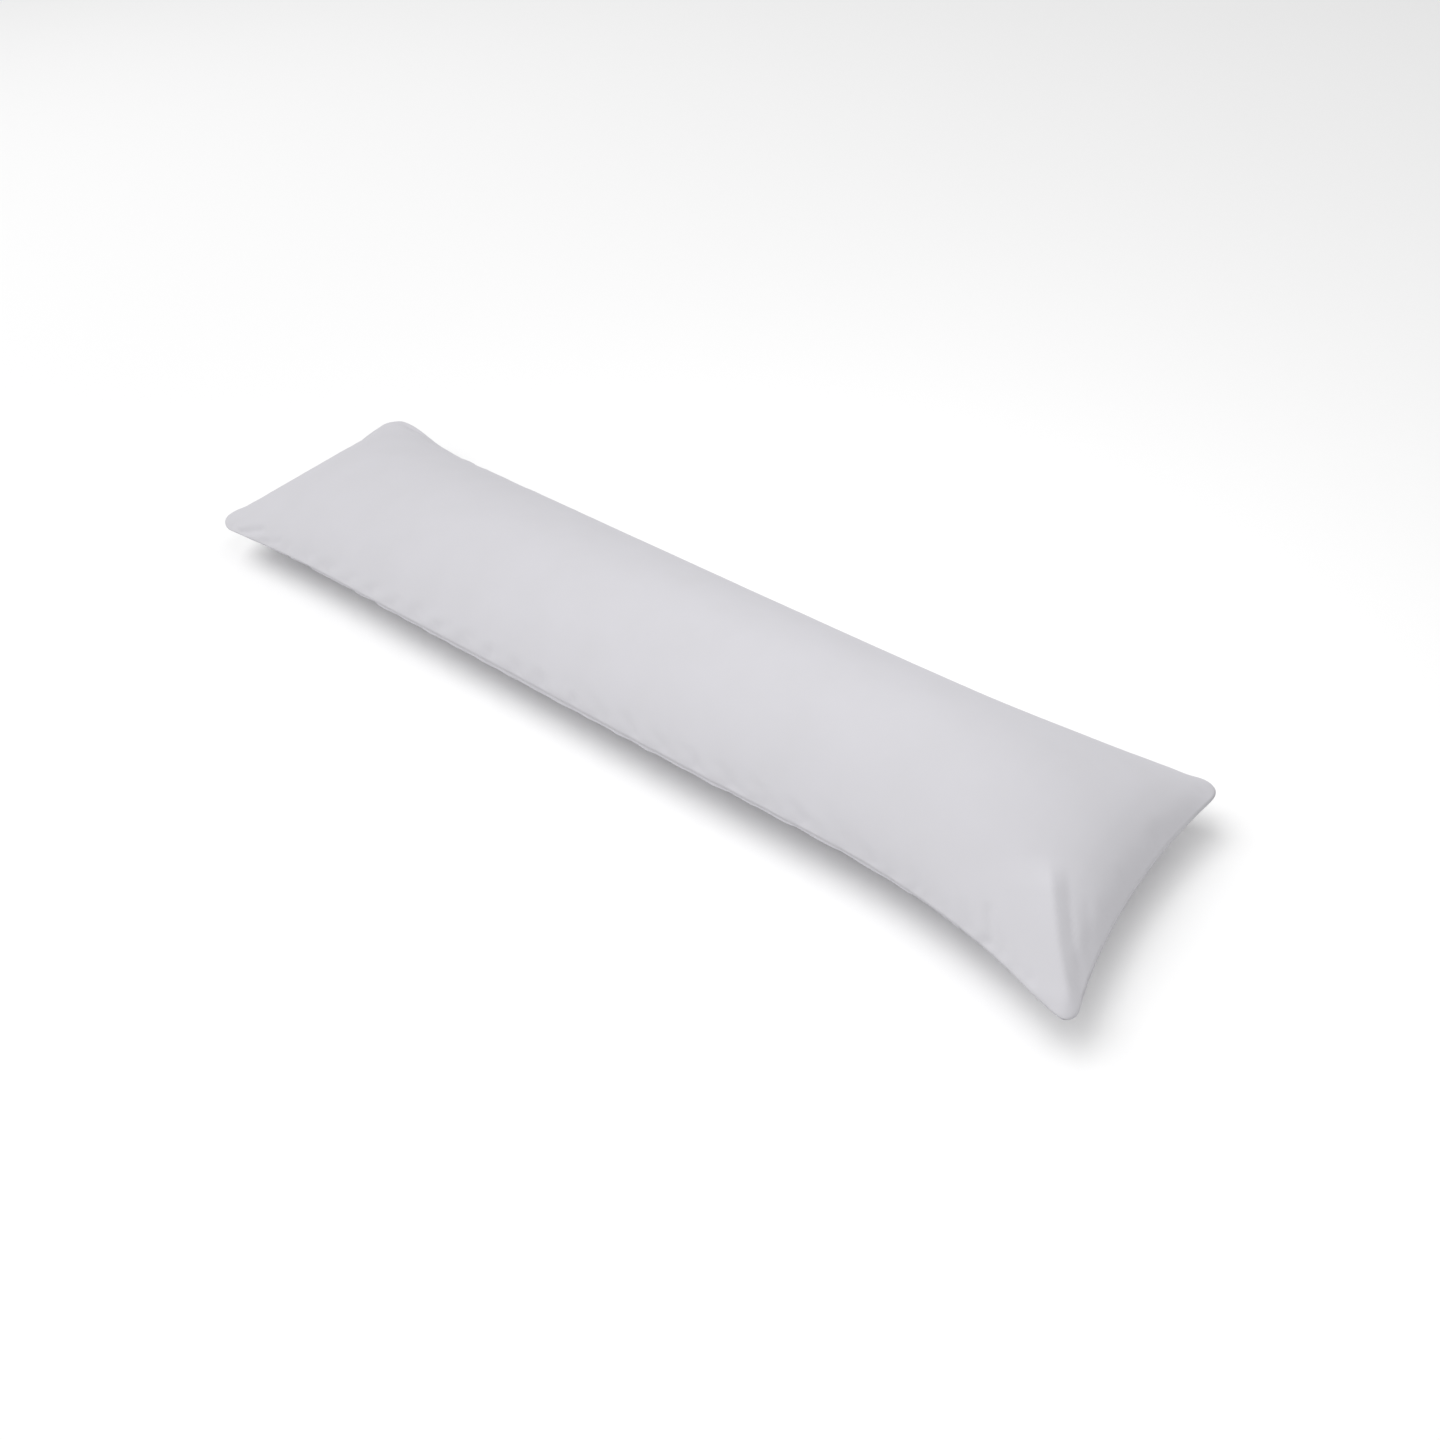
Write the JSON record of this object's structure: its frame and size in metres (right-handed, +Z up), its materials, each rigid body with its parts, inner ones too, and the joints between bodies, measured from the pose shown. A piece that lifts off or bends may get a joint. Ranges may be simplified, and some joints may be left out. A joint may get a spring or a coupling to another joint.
{
  "type": "body pillow",
  "caption": "Long slim rectangular body pillow with a full crown, drawn-in sides and ends, flared rounded corners and a sewn edge, lying on its flattened underside.",
  "frame": {"origin": "centre of the underside, on the surface that the pillow lies on", "axes": "+X along the pillow to its fuller end, +Y across it, +Z up through the crown"},
  "size_m": [1.3902, 0.3415, 0.1556],
  "materials": {
    "cover": "matt brushed microfibre, plain weave, light cool grey"
  },
  "bodies": {
    "root": {"body_pillow": "cover"}
  },
  "joints": []
}
